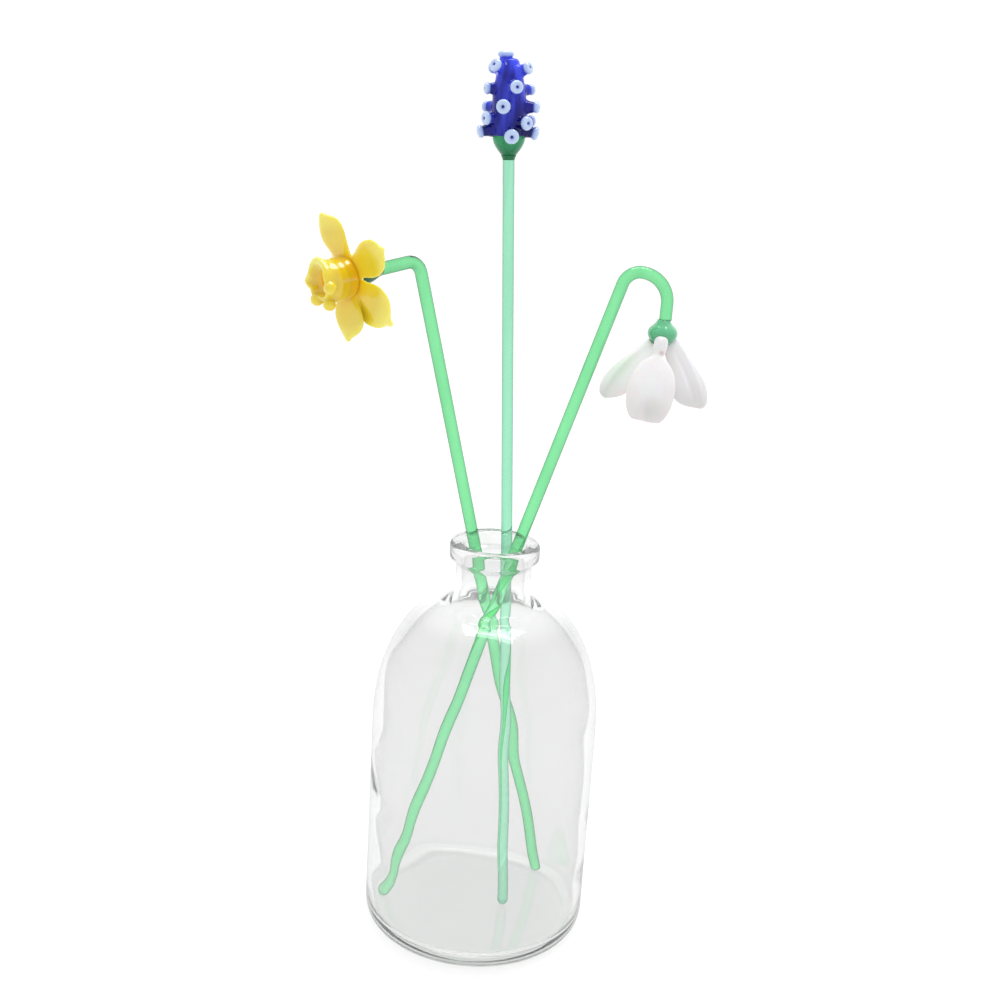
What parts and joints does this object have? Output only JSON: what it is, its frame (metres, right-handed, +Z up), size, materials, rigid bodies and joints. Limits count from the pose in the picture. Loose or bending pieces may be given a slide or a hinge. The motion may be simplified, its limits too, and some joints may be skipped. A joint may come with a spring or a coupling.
{
  "type": "glass flowers in a bottle",
  "caption": "Flame-worked glass spring flowers on green rod stems standing in a clear glass bottle with a beaded lip.",
  "frame": {"origin": "centre of the bottle's flat base, on the surface it stands on", "axes": "+Z up along the bottle's axis; -Y is the front, as the picture sees it; the daffodil leans out to -X and the snowdrop to +X"},
  "size_m": [0.1331, 0.0947, 0.3146],
  "materials": {
    "clear_glass": "clear moulded glass, a little wavy inside, polished outside",
    "spring_green_glass": "transparent light green glass rod, smooth and glossy",
    "aqua_green_glass": "transparent pale blue-green glass rod, smooth and glossy",
    "leaf_green_glass": "milky leaf green glass, melted smooth, glossy",
    "deep_green_glass": "deep green glass, melted smooth, glossy",
    "yellow_glass": "translucent yellow glass, paler at the tips, glossy and softly wavy",
    "amber_glass": "translucent yellow to amber glass thread wound into a trumpet, glossy",
    "cobalt_glass": "cobalt blue glass with pale blue floret mouths, glossy",
    "white_glass": "milk white glass, softly glossy, with a faint green tint on one petal"
  },
  "bodies": {
    "root": {"bottle": "clear_glass", "daffodil_stem": "spring_green_glass", "daffodil_calyx": "deep_green_glass", "daffodil_petals": "yellow_glass", "daffodil_trumpet": "amber_glass", "muscari_stem": "aqua_green_glass", "muscari_cup": "leaf_green_glass", "muscari_head": "cobalt_glass", "snowdrop_stem": "spring_green_glass", "snowdrop_ovary": "leaf_green_glass", "snowdrop_petal_front": "white_glass", "snowdrop_petal_left": "white_glass", "snowdrop_petal_right": "white_glass"}
  },
  "joints": []
}
